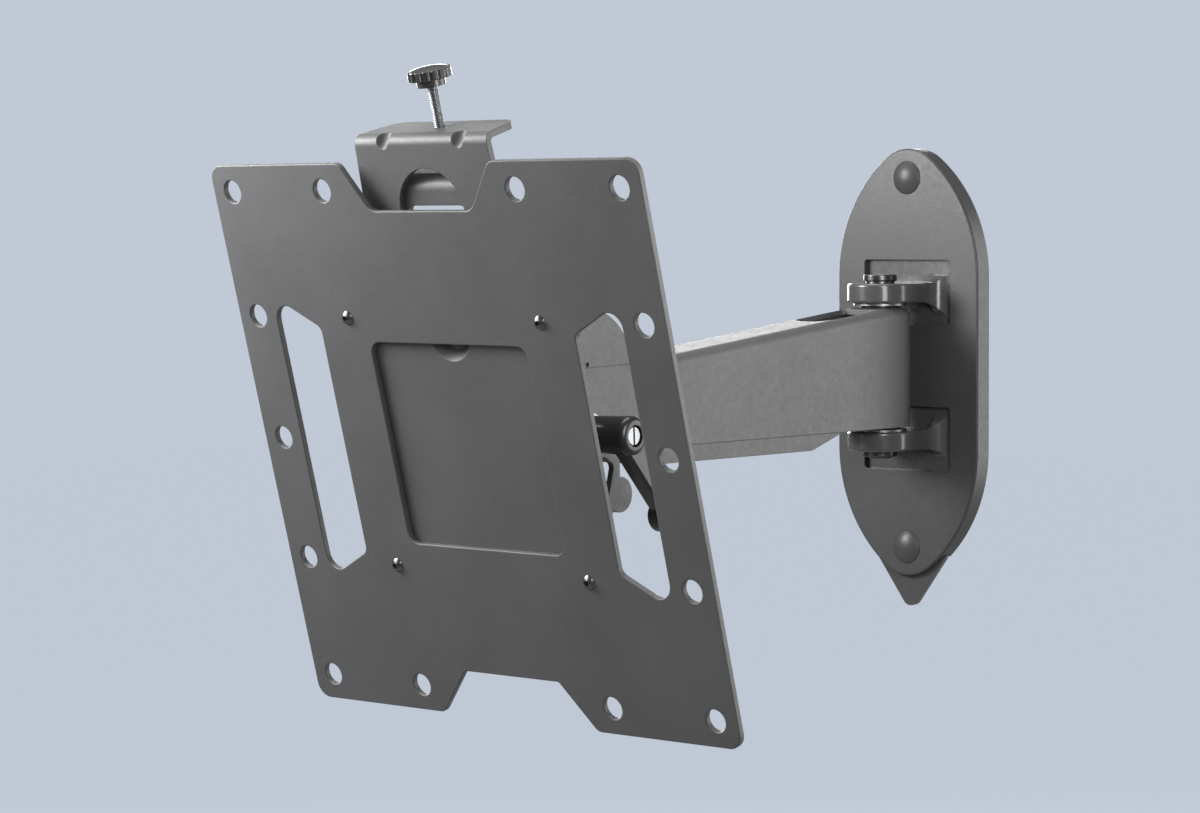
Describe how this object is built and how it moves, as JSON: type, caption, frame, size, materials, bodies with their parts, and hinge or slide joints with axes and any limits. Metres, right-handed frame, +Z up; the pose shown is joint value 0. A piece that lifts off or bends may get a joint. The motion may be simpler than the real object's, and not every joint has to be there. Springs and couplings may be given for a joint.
{
  "type": "tv wall mount",
  "caption": "Tilting and swivelling wall mount for a flat screen: wall plate with cover, single arm, tilt head with clamp lever and a square screen plate.",
  "frame": {"origin": "middle of the wall plate's wall face", "axes": "+Y into the wall, -Y the front towards the viewer, +Z up"},
  "size_m": [0.221, 0.3125, 0.25],
  "materials": {
    "cast_black": "satin powder coat over a casting",
    "cover_black": "fine satin grain",
    "coated_steel": "fine powder coat, satin",
    "pin_steel": "black oxide, satin",
    "black_screws": "black oxide",
    "zinc": "bright zinc",
    "nylon": "smooth black nylon",
    "knob_plastic": "glossy moulded",
    "lever_black": "glossy black die casting"
  },
  "bodies": {
    "wall": {"wall_bracket": "cast_black", "wall_cover": "cover_black", "screw_caps": "cover_black", "swivel_pin": "pin_steel", "swivel_retainer": "pin_steel", "upper_thrust_washer": "zinc", "lower_thrust_washer": "zinc"},
    "arm": {"arm_channel": "coated_steel", "pivot_sleeve": "pin_steel", "upper_swivel_bush": "nylon", "lower_swivel_bush": "nylon", "cable_cover": "cover_black", "tilt_bolt": "black_screws", "tilt_washers": "zinc", "lever_insert": "zinc"},
    "head": {"screen_plate": "coated_steel", "hook_plate": "coated_steel", "plate_screws": "black_screws", "plate_nuts": "zinc", "lock_screw": "black_screws", "lock_nut": "zinc", "hanger_plate": "coated_steel", "hang_hooks": "coated_steel", "tilt_yoke": "coated_steel", "tilt_stop_pin": "zinc", "tilt_spacer": "zinc", "friction_washers": "nylon", "thumb_nut": "zinc"},
    "lever": {"clamp_lever": "lever_black", "lever_screw": "zinc", "lever_spring": "zinc"},
    "stud": {"thumb_stud": "zinc"},
    "knob": {"thumb_knob": "knob_plastic"}
  },
  "joints": [
    {"name": "swivel", "type": "hinge", "parent": "wall", "child": "arm", "pos_m": [0, -0.0276, 0], "axis": [0, 0, 1], "range_deg": [-70, 70]},
    {"name": "tilt", "type": "hinge", "parent": "arm", "child": "head", "pos_m": [0, -0.23, -0.0191], "axis": [-1, 0, 0], "range_deg": [0, 20]},
    {"name": "lever_turn", "type": "hinge", "parent": "arm", "child": "lever", "pos_m": [0, -0.23, -0.0191], "axis": [1, 0, 0], "range_deg": [-40, 60]},
    {"name": "thumb_travel", "type": "slide", "parent": "head", "child": "stud", "axis": [0, 0.2588, -0.9659], "range_m": [-0.002, 0.0105]},
    {"name": "knob_turn", "type": "hinge", "parent": "stud", "child": "knob", "pos_m": [0, -0.30186, 0.1158], "axis": [0, 0.2588, -0.9659], "range_deg": [-1030, 5400]}
  ]
}
